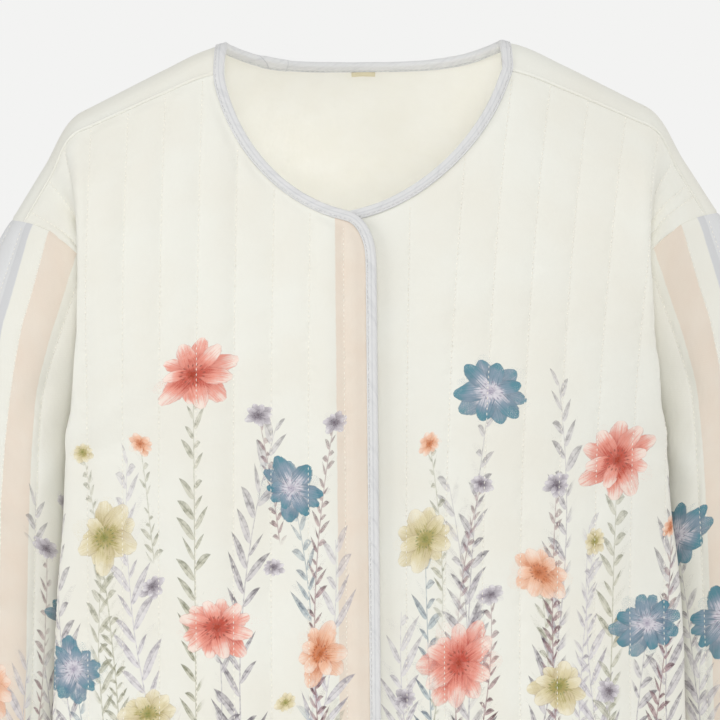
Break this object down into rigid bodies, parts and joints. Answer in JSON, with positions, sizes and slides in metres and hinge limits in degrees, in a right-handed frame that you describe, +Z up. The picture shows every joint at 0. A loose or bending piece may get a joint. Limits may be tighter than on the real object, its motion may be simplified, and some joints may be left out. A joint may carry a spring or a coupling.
{
  "type": "cropped quilted jacket",
  "caption": "Collarless cropped jacket in vertically quilted printed cotton, with bound neck and front edges, dropped shoulders and long sleeves, filled out as worn.",
  "frame": {"origin": "midway between the two neck points of the shoulders, where the wearer's shoulders hold the jacket up", "axes": "+X towards the right of the picture, +Y towards the back, +Z up; the front faces -Y"},
  "size_m": [0.6216, 0.216, 0.5958],
  "materials": {
    "quilted_cotton": "matte printed cotton over thin wadding",
    "binding_cotton": "soft satin bias strip",
    "tab_tape": "matte woven tape"
  },
  "bodies": {
    "root": {"front_left": "quilted_cotton", "front_right": "quilted_cotton", "back": "quilted_cotton", "sleeve_left": "quilted_cotton", "sleeve_right": "quilted_cotton", "edge_binding": "binding_cotton", "neck_tab": "tab_tape"}
  },
  "joints": []
}
